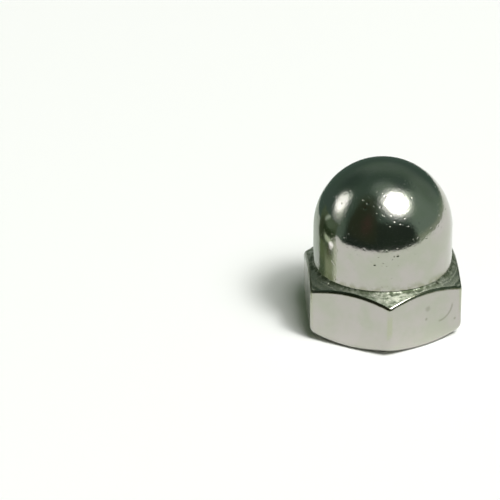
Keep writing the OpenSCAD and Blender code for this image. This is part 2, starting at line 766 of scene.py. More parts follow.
@dataclass
class Hexagon:
    """The hexagon's outline in plan, with a corner on +X, in millimetres."""

    across_flats: float
    edge_r: float = 0.4
    """Radius of the upright edges, from the drawing of the bar and the tumbling."""
    columns_to_a_flat: int = 36
    columns_to_an_edge: int = 6

    SIDES = 6

    @property
    def half_angle(self) -> float:
        """Half of the angle that one flat spans."""
        return math.pi / self.SIDES

    @property
    def edge_centre_r(self) -> float:
        """Distance of an edge's rounding centre from the axis."""
        return (self.across_flats / 2 - self.edge_r) / math.cos(self.half_angle)

    @property
    def edge_angle(self) -> float:
        """Half of the angle that an edge's rounding spans, seen from the axis."""
        out = self.edge_centre_r + self.edge_r * math.cos(self.half_angle)
        return math.atan2(self.edge_r * math.sin(self.half_angle), out)

    def angles(self) -> list[float]:
        """Choose the angles at which the nut is sliced, closer together at the edges.

        Returns:
            The angles, in radians from +X, once round.
        """
        columns = range(self.columns_to_an_edge + 1)
        edge = [self.edge_angle * (2 * n / self.columns_to_an_edge - 1) for n in columns]
        gap = (2 * self.half_angle - 2 * self.edge_angle) / self.columns_to_a_flat
        flat = [self.edge_angle + gap * n for n in range(1, self.columns_to_a_flat)]
        one_side = edge + flat
        return [side * 2 * self.half_angle + a for side in range(self.SIDES) for a in one_side]

    def radius(self, angle: float) -> float:
        """Measure the outline.

        Args:
            angle: Direction from the axis, in radians from +X.

        Returns:
            The outline's distance from the axis there.
        """
        side = 2 * self.half_angle
        off_corner = (angle + side / 2) % side - side / 2
        if abs(off_corner) <= self.edge_angle:
            c = self.edge_centre_r
            return c * math.cos(off_corner) + math.sqrt(self.edge_r ** 2 - (c * math.sin(off_corner)) ** 2)
        return self.across_flats / 2 / math.cos(abs(off_corner) - self.half_angle)


@dataclass
class Outside:
    """The turned outside: bearing edge, base chamfer, flats, top chamfer, crown fillet, wall and dome."""

    hexagon: Hexagon
    height: float
    flat_h: float = 5.72
    """Height of the middle of a flat."""
    top_chamfer_angle: float = 30.0
    base_chamfer_angle: float = 20.0
    bearing_setback: float = 0.5
    crown_ledge: float = 0.595
    """Width of the ledge between the crown's wall and the middle of a flat."""
    crown_fillet_r: float = 0.2
    top_arris_r: float = 0.36
    """Radius to which tumbling has rounded the edge between a flat and the top chamfer."""
    base_arris_r: float = 0.45
    """The same at the base chamfer, in the middle of a flat."""
    base_corner_r: float = 1.25
    """The same at a corner of the hexagon, where the base has had the most knocks."""
    bearing_edge_r: float = 0.12
    dome_rows: int = 44

    FILLET_STEPS = 6
    TOP_ARRIS_STEPS = 8
    BASE_ARRIS_STEPS = 10
    BEARING_EDGE_STEPS = 3
    WALL_ROWS = 6
    SHOULDER_ROWS = 4
    FLAT_ROWS = 6
    BASE_CHAMFER_ROWS = 2

    @property
    def flat_r(self) -> float:
        """Distance of the flats from the axis."""
        return self.hexagon.across_flats / 2

    @property
    def bearing_r(self) -> float:
        """Outer radius of the bearing face."""
        return self.flat_r - self.bearing_setback

    @property
    def crown_r(self) -> float:
        """Radius of the crown's wall and dome."""
        return self.flat_r - self.crown_ledge

    @property
    def dome_z(self) -> float:
        """Height of the dome's centre."""
        return self.height - self.crown_r

    def stretches(self, angle: float) -> list[tuple[Zone, list[Point]]]:
        """Return the outside's section at an angle, in stretches of one finish each.

        Args:
            angle: Direction from the axis, in radians from +X.

        Returns:
            For each stretch its finish and its points, as distance from the axis and height. They run from
            just under the top of the dome down to the bearing face's edge, and every angle gives as many.
        """
        out_r = self.hexagon.radius(angle)
        top_slope = math.tan(math.radians(self.top_chamfer_angle))
        base_slope = math.tan(math.radians(self.base_chamfer_angle))
        foot = (self.crown_r, self.flat_h + self.crown_ledge * top_slope)
        shoulder = (out_r, self.flat_h - (out_r - self.flat_r) * top_slope)
        heel = (out_r, (out_r - self.bearing_r) * base_slope)
        bearing = (self.bearing_r, 0.0)
        wall_top = (self.crown_r, self.dome_z)
        cornering = (out_r - self.flat_r) / (self.hexagon.radius(0.0) - self.flat_r)
        base_r = self.base_arris_r + (self.base_corner_r - self.base_arris_r) * cornering

        dome = []
        for row in range(1, self.dome_rows + 1):
            tilt = math.pi / 2 * row / self.dome_rows
            dome.append((self.crown_r * math.sin(tilt), self.dome_z + self.crown_r * math.cos(tilt)))
        fillet = round_corner(wall_top, foot, shoulder, self.crown_fillet_r, self.FILLET_STEPS)
        top_arris = round_corner(foot, shoulder, heel, self.top_arris_r, self.TOP_ARRIS_STEPS)
        base_arris = round_corner(shoulder, heel, bearing, base_r, self.BASE_ARRIS_STEPS)
        edge = round_corner(heel, bearing, (0.0, 0.0), self.bearing_edge_r, self.BEARING_EDGE_STEPS)
        wall = between(dome[-1], fillet[0], self.WALL_ROWS)
        top_chamfer = between(fillet[-1], top_arris[0], self.SHOULDER_ROWS)
        flat = between(top_arris[-1], base_arris[0], self.FLAT_ROWS)
        base_chamfer = between(base_arris[-1], edge[0], self.BASE_CHAMFER_ROWS)
        return [
            (Zone.CROWN, [*dome, *wall, fillet[0]]),
            (Zone.SHOULDER, [*fillet[1:], *top_chamfer, top_arris[0]]),
            (Zone.EDGE, top_arris[1:]),
            (Zone.BAR, [*flat, base_arris[0]]),
            # Tumbling polishes the base's rounded edge like the crown
            (Zone.CROWN, base_arris[1:]),
            (Zone.FACE, [*base_chamfer, *edge]),
        ]


@dataclass
class Thread:
    """An internal 60 degree thread in a countersunk blind bore, in millimetres."""

    bore_r: float
    bore_end_z: float
    major_r: float = 9.525 / 2
    pitch: float = 25.4 / 16
    countersink_margin: float = 0.84
    countersink_angle: float = 120.0
    drill_point_angle: float = 118.0
    mouth_edge_r: float = 0.1
    runout_turns: float = 1.6
    """Length over which the thread dies away towards the blind end, in pitches."""
    plain_end: float = 0.35
    """Unthreaded length left before the drill point."""

    FLANK_ANGLE = 30.0
    ROUNDING = 0.055
    """Half of the length along the axis over which a crest or root edge is rounded."""
    BLEND = 0.03
    """Width over which the thread and the countersink are blended where they cross."""
    SNAP = 0.008
    """Rows closer than this to an end circle are joined to it."""
    FLANK_ROWS = (0.33, 0.5, 0.67)
    """Places of the rows on a flank, as shares of its length."""

    @property
    def depth(self) -> float:
        """Depth of the thread."""
        return self.major_r - self.bore_r

    @property
    def mouth_r(self) -> float:
        """Radius of the countersink where it meets the bearing face."""
        return self.major_r + self.countersink_margin

    @property
    def flank(self) -> float:
        """Length of one flank along the axis."""
        return self.depth * math.tan(math.radians(self.FLANK_ANGLE))

    @property
    def crest(self) -> float:
        """Half of the width of the crest. The root's flat is an eighth of the pitch."""
        return self.pitch / 2 - self.pitch / 16 - self.flank

    @property
    def start_z(self) -> float:
        """Height of the circle on the countersink where the helical rows begin, just outside the thread."""
        return (self.mouth_r - self.major_r - self.BLEND) / self._countersink_slope

    @property
    def end_z(self) -> float:
        """Height of the circle where the thread has died away."""
        return self.bore_end_z - self.plain_end

    @property
    def _countersink_slope(self) -> float:
        """How far the countersink narrows for each millimetre up."""
        return math.tan(math.radians(self.countersink_angle / 2))

    def row_steps(self) -> list[float]:
        """Choose the places of the rows in one pitch, closer together at the crest's and the root's edges.

        Returns:
            Their distances along the axis from the middle of a crest.
        """
        c, r = self.crest, self.ROUNDING
        root = c + self.flank
        up = [0.0, c - r, c - r / 3, c + r / 3, c + r]
        up += [c + self.flank * share for share in self.FLANK_ROWS]
        up += [root - r, root - r / 3, root + r / 3]
        down = [self.pitch - u for u in reversed(up[1:])]
        return up + [self.pitch / 2] + down

    def _eased(self, x: float) -> float:
        """Return x where it is above 0 and else 0, with the bend at 0 rounded."""
        w = self.ROUNDING / self.flank
        return 0.0 if x < -w else x if x > w else (x + w) ** 2 / (4 * w)

    def groove(self, along: float) -> float:
        """Measure how deep the thread is cut.

        Args:
            along: Distance along the axis from the middle of a crest.

        Returns:
            The depth, from 0 at a crest to 1 at a root.
        """
        off = abs((along + self.pitch / 2) % self.pitch - self.pitch / 2)
        raw = (off - self.crest) / self.flank
        return self._eased(raw) - self._eased(raw - 1)

    def radius(self, angle: float, z: float) -> float:
        """Measure the cavity, thread and countersink together.

        Args:
            angle: Direction from the axis, in radians from +X.
            z: Height above the bearing face.

        Returns:
            The cavity's radius there.
        """
        fade = 1 - smoothstep(self.end_z - self.runout_turns * self.pitch, self.end_z, z)
        along = z - self.start_z - self.pitch * angle / math.tau
        thread_r = self.bore_r + self.depth * fade * self.groove(along)
        sink_r = self.mouth_r - z * self._countersink_slope
        lead = min(1.0, max(0.0, 0.5 + (sink_r - thread_r) / (2 * self.BLEND)))
        return sink_r * lead + thread_r * (1 - lead) + self.BLEND * lead * (1 - lead)


@dataclass
class CapNut:
    """The whole nut as one closed mesh."""

    outside: Outside
    thread: Thread
    finishes: Mapping[Zone, Stainless]
    name: str = "cap_nut_threaded"
    tip_corner_r: float = 0.15
    """Rounding between the bore's wall and its drill point."""
    _vertices: list[tuple[float, float, float]] = field(init=False, default_factory=list)
    _faces: list[tuple[int, ...]] = field(init=False, default_factory=list)
    _zones: list[int] = field(init=False, default_factory=list)
    _angles: list[float] = field(init=False)

    MOUTH_STEPS = 4
    TIP_CORNER_STEPS = 3
    BEARING_ROWS = 4
    COUNTERSINK_ROWS = 3
    DRILL_POINT_ROWS = 6
    SHADING_WEIGHT = 80
    """How strongly the larger faces set the shading at an edge."""

    def __post_init__(self) -> None:
        """Choose the angles that every ring has its points at."""
        self._angles = self.outside.hexagon.angles()

    def build(self) -> bpy.types.Object:
        """Make the nut's mesh, from the top of the crown down and up again into the bore.

        Returns:
            The nut's object, without its finishes.
        """
        last, edge_end = self._build_outside()
        t = self.thread
        start = (t.radius(0.0, t.start_z), t.start_z)
        bearing_corner = (self.outside.bearing_r, 0.0)
        mouth = round_corner(bearing_corner, (t.mouth_r, 0.0), start, t.mouth_edge_r, self.MOUTH_STEPS)
        bearing = between(edge_end, mouth[0], self.BEARING_ROWS)
        last = self._rings(last, [*bearing, mouth[0]], Zone.FACE)
        countersink = between(mouth[-1], start, self.COUNTERSINK_ROWS)
        last = self._rings(last, [*mouth[1:], *countersink], Zone.BORE)
        last = self._helix(last)

        tip = (0.0, t.bore_end_z + t.bore_r / math.tan(math.radians(t.drill_point_angle / 2)))
        wall_end, wall_corner = (t.bore_r, t.end_z), (t.bore_r, t.bore_end_z)
        corner = round_corner(wall_end, wall_corner, tip, self.tip_corner_r, self.TIP_CORNER_STEPS)
        point = between(corner[-1], tip, self.DRILL_POINT_ROWS)
        last = self._rings(last, [*corner, *point], Zone.BORE)
        self._fan(self._pole(tip[1]), last, Zone.BORE, flip=True)
        return self._object()

    def dress(self, nut: bpy.types.Object) -> None:
        """Give each surface of the nut its finish."""
        for zone in Zone:
            nut.data.materials.append(self.finishes[zone].material())

    def _build_outside(self) -> tuple[list[int], Point]:
        """Add the crown, the shoulder, the flats and the base chamfer.

        Returns:
            The ring at the bearing face's edge, and the point of the section that it goes through.
        """
        top = self._pole(self.outside.height)
        sections = [self.outside.stretches(a) for a in self._angles]
        last: list[int] = []
        for piece, (zone, points) in enumerate(sections[0]):
            for n in range(len(points)):
                row = self._row([section[piece][1][n] for section in sections])
                if last:
                    self._strip(last, row, zone)
                else:
                    self._fan(top, row, zone, flip=False)
                last = row
        return last, sections[0][-1][1][-1]

    def _rings(self, last: list[int], points: Sequence[Point], zone: Zone) -> list[int]:
        """Add a plain ring through each point, joined in strips to the ring before it.

        Args:
            last: The ring that the first one is joined to.
            points: Distance from the axis and height of each ring.
            zone: The finish of the strips.

        Returns:
            The last ring.
        """
        for point in points:
            row = self._row([point] * len(self._angles))
            self._strip(last, row, zone)
            last = row
        return last

    def _pole(self, z: float) -> int:
        """Add a point on the axis and return its number."""
        self._vertices.append((0.0, 0.0, z * MM))
        return len(self._vertices) - 1

    def _place(self, angle: float, point: Point) -> int:
        """Add a point at an angle, given by its distance from the axis and its height.

        Args:
            angle: Its direction from the axis, in radians from +X.
            point: Its distance from the axis and its height, in millimetres.

        Returns:
            Its number.
        """
        r, z = point
        self._vertices.append((r * math.cos(angle) * MM, r * math.sin(angle) * MM, z * MM))
        return len(self._vertices) - 1

    def _row(self, points: Sequence[Point]) -> list[int]:
        """Add a ring of points, one to an angle, and return their numbers."""
        return [self._place(a, p) for a, p in zip(self._angles, points)]

    def _face(self, corners: Sequence[int], zone: Zone) -> None:
        """Add a face, without the corners that fall together, or nothing if it has no area.

        Args:
            corners: Numbers of its points, in order.
            zone: Its finish.
        """
        distinct = list(dict.fromkeys(corners))
        if len(distinct) > 2:
            self._faces.append(tuple(distinct))
            self._zones.append(zone.value)

    def _strip(self, upper: Sequence[int], lower: Sequence[int], zone: Zone) -> None:
        """Join two rings with a strip of faces that look away from the metal.

        Args:
            upper: The ring that comes first, on the way from the crown to the drill point.
            lower: The ring that comes next.
            zone: The finish of the strip.
        """
        count = len(upper)
        for i in range(count):
            k = (i + 1) % count
            self._face((upper[i], lower[i], lower[k], upper[k]), zone)

    def _fan(self, pole: int, ring: Sequence[int], zone: Zone, flip: bool) -> None:
        """Close a ring with triangles to a point on the axis.

        Args:
            pole: The number of that point.
            ring: The ring.
            zone: The finish of the triangles.
            flip: Whether they look down.
        """
        count = len(ring)
        for i in range(count):
            k = (i + 1) % count
            self._face((pole, ring[k], ring[i]) if flip else (pole, ring[i], ring[k]), zone)

    def _helix(self, first: Sequence[int]) -> list[int]:
        """Add the threaded stretch, in rows that climb one pitch a turn.

        Rows that have not yet left the lower circle, or have already reached the upper one, are joined to
        it, so the stretch starts and ends in a plain ring.

        Args:
            first: The ring that it hangs from, which lies outside the start circle.

        Returns:
            The ring at its blind end.
        """
        t = self.thread
        start_ring = self._row([(t.radius(0.0, t.start_z), t.start_z)] * len(self._angles))
        self._strip(first, start_ring, Zone.BORE)
        end_ring = self._row([(t.radius(0.0, t.end_z), t.end_z)] * len(self._angles))
        steps = t.row_steps()
        turns = math.ceil((t.end_z - t.start_z) / t.pitch) + 1
        columns: list[list[int]] = []
        for i, angle in enumerate(self._angles):
            column = []
            for turn in range(-1, turns):
                for step in steps:
                    z = t.start_z + t.pitch * (turn + (angle % math.tau) / math.tau) + step
                    if z < t.start_z + t.SNAP:
                        column.append(start_ring[i])
                    elif z > t.end_z - t.SNAP:
                        column.append(end_ring[i])
                    else:
                        column.append(self._place(angle, (t.radius(angle, z), z)))
            columns.append(column)

        order = sorted(range(len(self._angles)), key=lambda i: self._angles[i] % math.tau)
        for a, b in zip(order, order[1:]):
            for lower in range(len(columns[a]) - 1):
                self._quad(columns[a], columns[b], lower, lower)
        for lower in range(len(columns[0]) - 1 - len(steps)):
            self._quad(columns[order[-1]], columns[order[0]], lower, lower + len(steps))
        return end_ring

    def _quad(self, here: Sequence[int], there: Sequence[int], low: int, low_there: int) -> None:
        """Add one face of the thread between two columns, up from a place in each."""
        corners = (here[low], here[low + 1], there[low_there + 1], there[low_there])
        self._face(corners, Zone.BORE)

    def _object(self) -> bpy.types.Object:
        """Make the object from the gathered points and faces.

        Returns:
            The object, in the scene.
        """
        mesh = bpy.data.meshes.new(self.name)
        mesh.from_pydata(self._vertices, [], self._faces)
        mesh.polygons.foreach_set("material_index", self._zones)
        mesh.polygons.foreach_set("use_smooth", [True] * len(self._faces))
        mesh.update()
        mesh.validate()
        nut = bpy.data.objects.new(self.name, mesh)
        bpy.context.collection.objects.link(nut)
        weighted = nut.modifiers.new("edge_shading", "WEIGHTED_NORMAL")
        weighted.mode = "FACE_AREA"
        weighted.weight = self.SHADING_WEIGHT
        return nut


# ------------------------------------------------------------------------------------------- the set


@dataclass(frozen=True)
class View:
    """The camera's place, aimed at a point on the floor."""

    azimuth: float = -123.6
    elevation: float = 27.24
    distance: float = 428.7
    """From the aim point, in millimetres."""
    beyond: float = 13.89
    """How far the aim point lies beyond the nut's axis, in millimetres."""
    to_the_left: float = 12.53
    """How far the aim point lies to the left of the nut's axis, in millimetres."""
    lens: float = 314.74
    sensor: float = 36.0
    """Width of the sensor, and lens is the focal length, both in millimetres."""

    @property
    def place(self) -> Vector:
        """The camera's place, in millimetres."""
        aim = direction(self.azimuth - 90, 0) * self.to_the_left - direction(self.azimuth, 0) * self.beyond
        return aim + direction(self.azimuth, self.elevation) * self.distance

    @property
    def seen_from_nut(self) -> float:
        """The camera's azimuth as seen from the nut's axis, in degrees."""
        return math.degrees(math.atan2(self.place.y, self.place.x))

    def build(self) -> bpy.types.Object:
        """Make the camera and put the scene in its charge.

        Returns:
            The camera.
        """
        towards = direction(self.azimuth, self.elevation)
        data = bpy.data.cameras.new("camera")
        data.lens = self.lens
        data.sensor_width = self.sensor
        camera = bpy.data.objects.new("camera", data)
        camera.location = self.place * MM
        camera.rotation_mode = "QUATERNION"
        camera.rotation_quaternion = (-towards).to_track_quat("-Z", "Y")
        bpy.context.collection.objects.link(camera)
        bpy.context.scene.camera = camera
        return camera


@dataclass(frozen=True)
class Glare:
    """A round bright place on the dark cloth, with light spilt round it."""

    name: str
    azimuth: float
    """Direction from the nut, in degrees to the right of the camera's."""
    elevation: float
    angular_radius: float
    """Half of the angle that it fills, seen from the nut."""
    glow: float = 0.0
    """Brightness of the cloth out to its rim."""
    glow_fade: float = 7.5
    """Angle beyond the rim over which that falls to about a third."""

    def spill(self, azimuth: float, elevation: float) -> float:
        """Measure the brightness that it adds to the cloth.

        Args:
            azimuth: Direction from the nut, in degrees to the right of the camera's.
            elevation: The same above the floor.

        Returns:
            The brightness there.
        """
        away = direction(self.azimuth, self.elevation).angle(direction(azimuth, elevation))
        beyond_rim = max(0.0, math.degrees(away) - self.angular_radius)
        return self.glow * math.exp(-((beyond_rim / self.glow_fade) ** 2))


@dataclass(frozen=True)
class Lamp(Glare):
    """A round softbox that faces the nut."""

    power: float = 1.0
    distance: float = 2500.0
    mirrored: bool = True
    """Whether the steel mirrors it. A lamp behind net doesn't show."""

    def build(self, camera_azimuth: float, aim_z: float) -> bpy.types.Object:
        """Make the lamp.

        Args:
            camera_azimuth: The direction that azimuths are measured from.
            aim_z: Height of the point that it faces, in millimetres.

        Returns:
            The lamp.
        """
        towards = direction(camera_azimuth + self.azimuth, self.elevation)
        data = bpy.data.lights.new(self.name, "AREA")
        data.shape = "DISK"
        data.size = 2 * self.distance * math.tan(math.radians(self.angular_radius)) * MM
        data.energy = self.power
        lamp = bpy.data.objects.new(self.name, data)
        lamp.location = Vector((0, 0, aim_z * MM)) + towards * self.distance * MM
        lamp.rotation_mode = "QUATERNION"
        lamp.rotation_quaternion = (-towards).to_track_quat("-Z", "Y")
        lamp.visible_glossy = self.mirrored
        bpy.context.collection.objects.link(lamp)
        return lamp


def background_rays(tree: Tree) -> Socket:
    """Tell the rays that see the background, straight, by reflection or through glass, from those that light.

    Args:
        tree: The node tree that needs to know.

    Returns:
        A socket that is 1 for the rays that see it and else 0.
    """
    path = add_node(tree, "LightPath").outputs
    seen = add_node(
        tree, "Math", {0: path["Is Camera Ray"], 1: path["Is Glossy Ray"]}, operation="MAXIMUM"
    )
    return add_node(
        tree, "Math", {0: seen.outputs["Value"], 1: path["Is Transmission Ray"]}, operation="MAXIMUM"
    ).outputs["Value"]


@dataclass(frozen=True)
class Floor:
    """A sheet of matt white card that runs out into the white background."""

    colour: str = "#FAFAF8"
    lift: float = 0.01
    """Strength that the background adds to the card, so that it reaches white where it is lit."""
    radius: float = 260.0
    gap: float = 0.02
    """How far it lies below the bearing face, so that the two don't fall in one plane."""
    fade_starts: float = 0.35
    fade_ends: float = 0.8
    """Shares of its radius between which it goes over into the background."""
    sides: int = 96

    def build(self) -> bpy.types.Object:
        """Make the floor.

        Returns:
            The floor's object, dressed.
        """
        ring = [direction(360 * n / self.sides, 0) * self.radius * MM for n in range(self.sides)]
        mesh = bpy.data.meshes.new("floor")
        mesh.from_pydata([tuple(p) for p in ring], [], [tuple(range(self.sides))])
        mesh.materials.append(self.material())
        floor = bpy.data.objects.new("floor", mesh)
        floor.location.z = -self.gap * MM
        bpy.context.collection.objects.link(floor)
        return floor

    def material(self) -> bpy.types.Material:
        """Build pressed white card: quite matt, so that it shows the nut's shadow and no gloss.

        Returns:
            The material.
        """
        material, tree = new_material("white_card")
        card = add_node(tree, "BsdfDiffuse", {"Color": srgb(self.colour)})
        strength = add_node(tree, "Math", {0: background_rays(tree), 1: self.lift}, operation="MULTIPLY")
        glow = add_node(tree, "Emission", {"Strength": strength.outputs["Value"]})
        both = add_node(tree, "AddShader", {0: card.outputs["BSDF"], 1: glow.outputs["Emission"]})
        place = add_node(tree, "TexCoord")
        away = add_node(tree, "VectorMath", {0: place.outputs["Object"]}, operation="LENGTH")
        rim = add_node(
            tree, "MapRange",
            {"Value": away.outputs["Value"], "From Min": self.fade_starts * self.radius * MM,
             "From Max": self.fade_ends * self.radius * MM},
            interpolation_type="SMOOTHSTEP",
        )
        through = add_node(tree, "BsdfTransparent")
        mix = add_node(
            tree, "MixShader",
            {"Fac": rim.outputs["Result"], 1: both.outputs["Shader"], 2: through.outputs["BSDF"]},
        )
        add_node(tree, "OutputMaterial", {"Surface": mix.outputs["Shader"]})
        return material


@dataclass(frozen=True)
class Background:
    """The world: white where it is seen, and elsewhere the dim light that the dark cloth returns."""

    fill_colour: str = "#B8FF98"
    fill: float = 0.048
    """Strength of the light that it gives the scene."""

    def build(self) -> None:
        """Make the world and set it."""
        world = bpy.data.worlds.new("background")
        bpy.context.scene.world = world
        world.use_nodes = True
        tree = world.node_tree
        tree.nodes.clear()
        seen = background_rays(tree)
        strength = add_node(tree, "MapRange", {"Value": seen, "To Min": self.fill, "To Max": 1.0})
        colour = add_node(
            tree, "Mix", {"Factor": seen, "A": srgb(self.fill_colour), "B": srgb("#FFFFFF")}, data_type="RGBA"
        )
        light = add_node(
            tree, "Background", {"Color": colour.outputs["Result"], "Strength": strength.outputs["Result"]}
        )
        add_node(tree, "OutputWorld", {"Surface": light.outputs["Background"]})


@dataclass(frozen=True)
class Shade:
    """A region of dark cloth or card that differs from the rest.

    Azimuths run to the right of the camera's, in degrees. Levels are elevations in degrees on the room's
    cloth, and heights in millimetres on a card.
    """

    colour: str
    azimuth: float
    level: float
    half_width: float
    half_height: float
    softness: float = 0.2
    """Share of its size over which it fades into the rest."""
    squareness: float = 4.0
    """2 gives an ellipse, and more a box with ever sharper corners."""
    lean: float = 0.0
    """How far the region drops for each degree to the right."""
    strength: float = 1.0
    """Brightness, as a multiple of its colour's."""

    def cover(self, azimuth: float, level: float) -> float:
        """Measure how much of this region's colour a place gets.

        Args:
            azimuth: The place's azimuth.
            level: The place's level.

        Returns:
            The share, from 0 to 1.
        """
        across = (azimuth - self.azimuth + 180) % 360 - 180
        up = level - self.level + self.lean * across
        power = self.squareness
        reach = (abs(across) / self.half_width) ** power + (abs(up) / self.half_height) ** power
        return 1 - smoothstep(1 - self.softness, 1 + self.softness, reach ** (1 / power))


def shaded(tone: Vector, shades: Sequence[Shade], azimuth: float, level: float) -> Vector:
    """Lay shades over a place on cloth or card, each over those before it.

    Args:
        tone: The place's linear colour without them.
        shades: The shades.
        azimuth: The place's azimuth.
        level: The place's level.

    Returns:
        The place's linear colour.
    """
    for shade in shades:
        tone = tone.lerp(Vector(srgb(shade.colour)) * shade.strength, shade.cover(azimuth, level))
    return tone


def unseen_but_mirrored(obj: bpy.types.Object) -> None:
    """Let only reflections see an object: it casts no shadow and hides neither the nut nor the background.

    Args:
        obj: The object.
    """
    obj.visible_camera = False
    obj.visible_diffuse = False
    obj.visible_transmission = False
    obj.visible_volume_scatter = False
    obj.visible_shadow = False


def dark_object(
    name: str, vertices: Sequence[Vector], faces: Sequence[Sequence[int]], tones: Sequence[Vector]
) -> bpy.types.Object:
    """Make a piece of dark cloth or card whose tone is given at each of its points.

    Args:
        name: The object's name.
        vertices: Its points, in millimetres.
        faces: Its faces.
        tones: The linear colour of each point.

    Returns:
        The object.
    """
    mesh = bpy.data.meshes.new(name)
    mesh.from_pydata([tuple(v * MM) for v in vertices], [], faces)
    attribute = mesh.attributes.new("tone", "FLOAT_COLOR", "POINT")
    attribute.data.foreach_set("color", [channel for tone in tones for channel in tone])
    material, tree = new_material(name + "_cloth")
    tone_node = add_node(tree, "Attribute", attribute_name="tone")
    glow = add_node(tree, "Emission", {"Color": tone_node.outputs["Color"], "Strength": 1.0})
    add_node(tree, "OutputMaterial", {"Surface": glow.outputs["Emission"]})
    mesh.materials.append(material)
    obj = bpy.data.objects.new(name, mesh)
    bpy.context.collection.objects.link(obj)
    unseen_but_mirrored(obj)
    return obj


@dataclass(frozen=True)
class DarkRoom:
    """Dark cloth that hangs round the set and lies on the table up to the white card.

    It gives the polished steel something dark to mirror.
    """

    shades: tuple[Shade, ...]
    figure: tuple[Shade, ...]
    """The dark figure that stands before the cloth and hides it."""
    edge: tuple[Point, ...]
    """Distance of the cloth's near edge from the nut's axis in millimetres, by azimuth."""
    colour: str = "#4D6056"
    radius: float = 3200.0
    lies_at: float = 0.5
    """Height of the cloth above the card, in millimetres."""
    eye_height: float = 12.0
    """Height on the crown from which the shades' directions are taken, in millimetres."""
    columns: int = 180
    table_rows: int = 16
    wall_rows: int = 60

    def _edge_at(self, azimuth: float) -> float:
        """Find the cloth's near edge, smoothly between the stated places.

        Args:
            azimuth: Direction from the nut, in degrees to the right of the camera's.

        Returns:
            The edge's distance from the nut's axis, in millimetres.
        """
        stops = [*self.edge, (self.edge[0][0] + 360, self.edge[0][1])]
        azimuth = (azimuth - stops[0][0]) % 360 + stops[0][0]
        for (a, low), (b, high) in zip(stops, stops[1:]):
            if a <= azimuth <= b:
                return low + (high - low) * smoothstep(a, b, azimuth)
        return stops[-1][1]

    def _tone(self, point: Vector, glares: Sequence[Glare]) -> Vector:
        """Find the cloth's colour at a point.

        Args:
            point: The point in millimetres, turned so that the camera's azimuth is zero.
            glares: What spills light on the cloth.

        Returns:
            The linear colour.
        """
        sight = point - Vector((0, 0, self.eye_height))
        azimuth = math.degrees(math.atan2(sight.y, sight.x))
        elevation = math.degrees(math.asin(sight.z / sight.length))
        tone = shaded(Vector(srgb(self.colour)), self.shades, azimuth, elevation)
        # Painted light: each glare's spill brightens the cloth's colour round it
        for glare in glares:
            tone += Vector((1, 1, 1, 0)) * glare.spill(azimuth, elevation)
        return shaded(tone, self.figure, azimuth, elevation)

    def build(self, camera_azimuth: float, glares: Sequence[Glare]) -> bpy.types.Object:
        """Make the cloth.

        Args:
            camera_azimuth: The direction that azimuths are measured from.
            glares: The lamps and other bright places whose light spills on it.

        Returns:
            The cloth's object.
        """
        vertices, tones = [], []
        turned = Quaternion((0, 0, 1), math.radians(camera_azimuth))
        rows = self.table_rows + self.wall_rows
        for row in range(rows + 1):
            for column in range(self.columns):
                azimuth = 360 * column / self.columns - 180
                if row < self.table_rows:
                    near = self._edge_at(azimuth)
                    distance = near * (self.radius / near) ** (row / self.table_rows)
                    point = direction(azimuth, 0) * distance
                else:
                    point = direction(azimuth, 90 * (row - self.table_rows) / self.wall_rows) * self.radius
                point.z = max(point.z, self.lies_at)
                vertices.append(turned @ point)
                tones.append(self._tone(point, glares))
        faces = [
            (row * self.columns + c, row * self.columns + (c + 1) % self.columns,
             (row + 1) * self.columns + (c + 1) % self.columns, (row + 1) * self.columns + c)
            for row in range(rows) for c in range(self.columns)
        ]
        return dark_object("dark_room", vertices, faces, tones)


@dataclass(frozen=True)
class Card:
    """A small card that stands on the white one, close to the nut's left, and shows as a streak in it."""

    name: str
    start: float
    """Azimuth of its left end, in degrees to the right of the camera's."""
    end: float
    height: float
    colour: str
    shades: tuple[Shade, ...] = ()
    distance: float = 15.0
    columns: int = 60
    rows: int = 36

    def build(self, camera_azimuth: float) -> bpy.types.Object:
        """Make the card.

        Args:
            camera_azimuth: The direction that azimuths are measured from.

        Returns:
            The card's object, dressed.
        """
        vertices, tones = [], []
        for column in range(self.columns + 1):
            azimuth = self.start + (self.end - self.start) * column / self.columns
            foot = direction(camera_azimuth + azimuth, 0) * self.distance
            for row in range(self.rows + 1):
                height = self.height * row / self.rows
                vertices.append(foot + Vector((0, 0, height)))
                tones.append(shaded(Vector(srgb(self.colour)), self.shades, azimuth, height))
        step = self.rows + 1
        faces = [
            (step * n + k, step * (n + 1) + k, step * (n + 1) + k + 1, step * n + k + 1)
            for n in range(self.columns) for k in range(self.rows)
        ]
        return dark_object(self.name, vertices, faces, tones)


# The key lamp's glow is painted light: a spill painted on the dark cloth round it, which the steel mirrors as
# a halo
KEY_LAMP = Lamp("key_lamp", azimuth=44, elevation=59, angular_radius=17, power=44.0, glow=1.35, glow_fade=7.3)
# The hot middle of the key lamp's cloth, which gives the shadow its dark core
KEY_LAMP_CORE = Lamp("key_lamp_core", azimuth=49.3, elevation=54.9, angular_radius=6.5, power=26.5)
# Light from the ceiling above it, which reaches into the shadow but not to the foot of the nut
CEILING_LAMP = Lamp("ceiling_lamp", azimuth=44, elevation=63, angular_radius=24, power=9.2, mirrored=False)
LAMPS = (KEY_LAMP, KEY_LAMP_CORE, CEILING_LAMP)

# A painted highlight: a bright window and its glow, painted on the dark cloth. It is no lamp and lights
# nothing, and the steel only mirrors it
SIDE_WINDOW = Glare(
    "side_window", azimuth=-99.5, elevation=27.5, angular_radius=7.5, glow=1.85, glow_fade=5.0
)
GLARES = (*LAMPS, SIDE_WINDOW)

